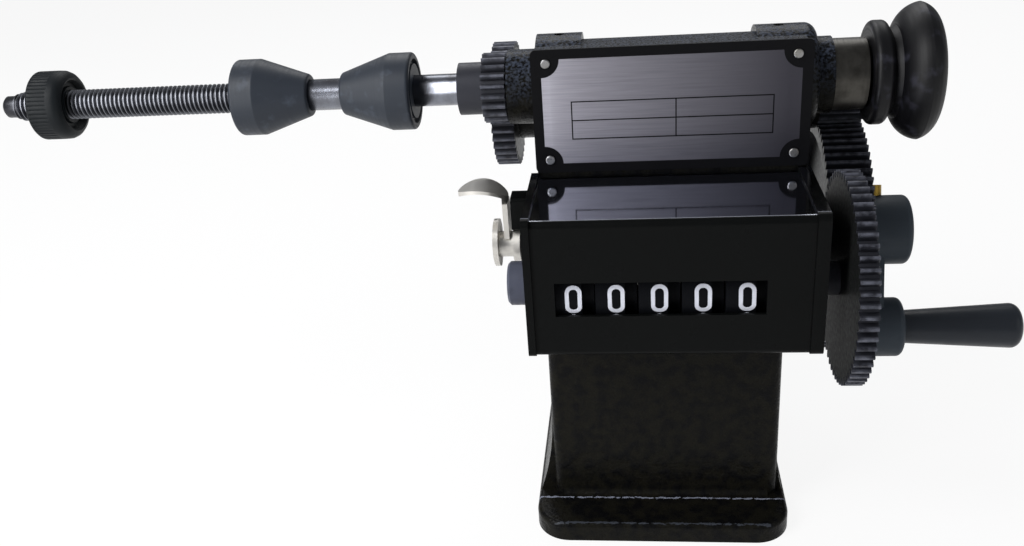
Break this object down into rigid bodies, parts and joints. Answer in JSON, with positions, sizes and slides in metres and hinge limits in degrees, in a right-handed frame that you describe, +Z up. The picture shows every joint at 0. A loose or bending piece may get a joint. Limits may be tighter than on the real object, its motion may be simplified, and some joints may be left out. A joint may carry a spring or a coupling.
{
  "type": "hand-crank coil winding machine",
  "caption": "Hand-cranked bench coil winder: geared threaded spindle with two centring cones and a nut, turns counter with figure wheels, and a crank on a cast frame.",
  "frame": {"origin": "on the foot's underside, straight below the spindle axis and midway between the outer faces of the head's two cheeks", "axes": "+X along the spindle towards the hand wheel and the crank, +Y to the open back, +Z up; the counter and its window face -Y"},
  "size_m": [0.3405, 0.1402, 0.1575],
  "materials": {
    "casting_paint": "gloss black enamel over a rough casting",
    "bush_steel": "turned steel, slightly brown",
    "bush_bronze": "plain turned bronze",
    "plate_aluminium": "fine brushed",
    "bright_steel": "ground and bright",
    "screw_steel": "plain zinc",
    "counter_paint": "smooth gloss black",
    "wheel_plastic": "moulded black with white figures",
    "gear_black": "blackened, machined teeth",
    "crank_paint": "satin blue-grey",
    "screw_brass": "plain turned",
    "grip_plastic": "satin moulded",
    "knob_plastic": "moulded black, semi-gloss",
    "cone_plastic": "turned black, matte",
    "nut_plastic": "moulded black, straight knurl",
    "key_nickel": "nickel plated",
    "cap_paint": "satin blue-grey"
  },
  "bodies": {
    "frame": {"frame_casting": "casting_paint", "frame_head": "casting_paint", "spindle_bush_left": "bush_bronze", "spindle_bush_right": "bush_steel", "layshaft_bush_left": "bush_bronze", "layshaft_bush_right": "bush_bronze", "crank_bush": "bush_bronze", "name_plate": "plate_aluminium", "plate_rivets": "screw_steel", "counter_shell": "counter_paint", "counter_side_left": "counter_paint", "counter_side_right": "counter_paint", "counter_screws": "screw_steel"},
    "spindle": {"spindle_shaft": "bright_steel", "spindle_pinion": "gear_black", "hand_wheel": "knob_plastic"},
    "layshaft_set": {"layshaft": "bright_steel", "layshaft_gear": "gear_black", "layshaft_pinion": "gear_black"},
    "crank": {"crank_shaft": "bright_steel", "crank_shaft_collar": "screw_steel", "crank_gear": "gear_black", "crank_arm": "crank_paint", "crank_screw": "screw_brass", "handle_pin": "bright_steel"},
    "grip": {"handle_grip": "grip_plastic"},
    "counter_drive": {"counter_shaft": "bright_steel", "counter_gear": "gear_black", "counter_shaft_cap": "cap_paint"},
    "reset": {"reset_shaft": "bright_steel", "reset_key": "key_nickel"},
    "nut": {"clamp_nut": "nut_plastic"},
    "left_cone": {"cone_left": "cone_plastic"},
    "right_cone": {"cone_right": "cone_plastic"},
    "figure_wheel_1": {"number_wheel_1": "wheel_plastic"},
    "figure_wheel_2": {"number_wheel_2": "wheel_plastic"},
    "figure_wheel_3": {"number_wheel_3": "wheel_plastic"},
    "figure_wheel_4": {"number_wheel_4": "wheel_plastic"},
    "figure_wheel_5": {"number_wheel_5": "wheel_plastic"}
  },
  "joints": [
    {"name": "crank_turn", "type": "hinge", "parent": "frame", "child": "crank", "pos_m": [0, 0.02529, 0.07402], "axis": [1, 0, 0], "continuous": true},
    {"name": "layshaft_turn", "type": "hinge", "parent": "frame", "child": "layshaft_set", "pos_m": [0, 0.02703, 0.12399], "axis": [1, 0, 0], "continuous": true},
    {"name": "spindle_turn", "type": "hinge", "parent": "frame", "child": "spindle", "pos_m": [0, 0, 0.137], "axis": [1, 0, 0], "continuous": true},
    {"name": "counter_drive_turn", "type": "hinge", "parent": "frame", "child": "counter_drive", "pos_m": [0, -0.04308, 0.08905], "axis": [1, 0, 0], "continuous": true},
    {"name": "figure_wheel_1_turn", "type": "hinge", "parent": "frame", "child": "figure_wheel_1", "pos_m": [0, -0.04308, 0.08905], "axis": [1, 0, 0], "continuous": true},
    {"name": "figure_wheel_2_turn", "type": "hinge", "parent": "frame", "child": "figure_wheel_2", "pos_m": [0, -0.04308, 0.08905], "axis": [1, 0, 0], "continuous": true},
    {"name": "figure_wheel_3_turn", "type": "hinge", "parent": "frame", "child": "figure_wheel_3", "pos_m": [0, -0.04308, 0.08905], "axis": [1, 0, 0], "continuous": true},
    {"name": "figure_wheel_4_turn", "type": "hinge", "parent": "frame", "child": "figure_wheel_4", "pos_m": [0, -0.04308, 0.08905], "axis": [1, 0, 0], "continuous": true},
    {"name": "figure_wheel_5_turn", "type": "hinge", "parent": "frame", "child": "figure_wheel_5", "pos_m": [0, -0.04308, 0.08905], "axis": [1, 0, 0], "continuous": true},
    {"name": "handle_spin", "type": "hinge", "parent": "crank", "child": "grip", "pos_m": [0, 0.01356, 0.04179], "axis": [1, 0, 0], "continuous": true},
    {"name": "reset_turn", "type": "hinge", "parent": "frame", "child": "reset", "pos_m": [0, -0.02552, 0.09415], "axis": [1, 0, 0], "range_deg": [0, 360]},
    {"name": "nut_travel", "type": "slide", "parent": "spindle", "child": "nut", "axis": [1, 0, 0], "range_m": [-0.006, 0.028]},
    {"name": "cone_left_travel", "type": "slide", "parent": "spindle", "child": "left_cone", "axis": [1, 0, 0], "range_m": [-0.028, 0.0045]},
    {"name": "cone_right_travel", "type": "slide", "parent": "spindle", "child": "right_cone", "axis": [1, 0, 0], "range_m": [-0.005, 0.013]}
  ],
  "couplings": [
    {"joint": "layshaft_turn", "follows": "crank_turn", "ratio": -4},
    {"joint": "spindle_turn", "follows": "crank_turn", "ratio": 8},
    {"joint": "counter_drive_turn", "follows": "crank_turn", "ratio": -1.3333},
    {"joint": "figure_wheel_5_turn", "follows": "crank_turn", "ratio": -0.8},
    {"joint": "figure_wheel_4_turn", "follows": "crank_turn", "ratio": -0.08},
    {"joint": "figure_wheel_3_turn", "follows": "crank_turn", "ratio": -0.008},
    {"joint": "figure_wheel_2_turn", "follows": "crank_turn", "ratio": -0.0008},
    {"joint": "figure_wheel_1_turn", "follows": "crank_turn", "ratio": -0.00008}
  ]
}
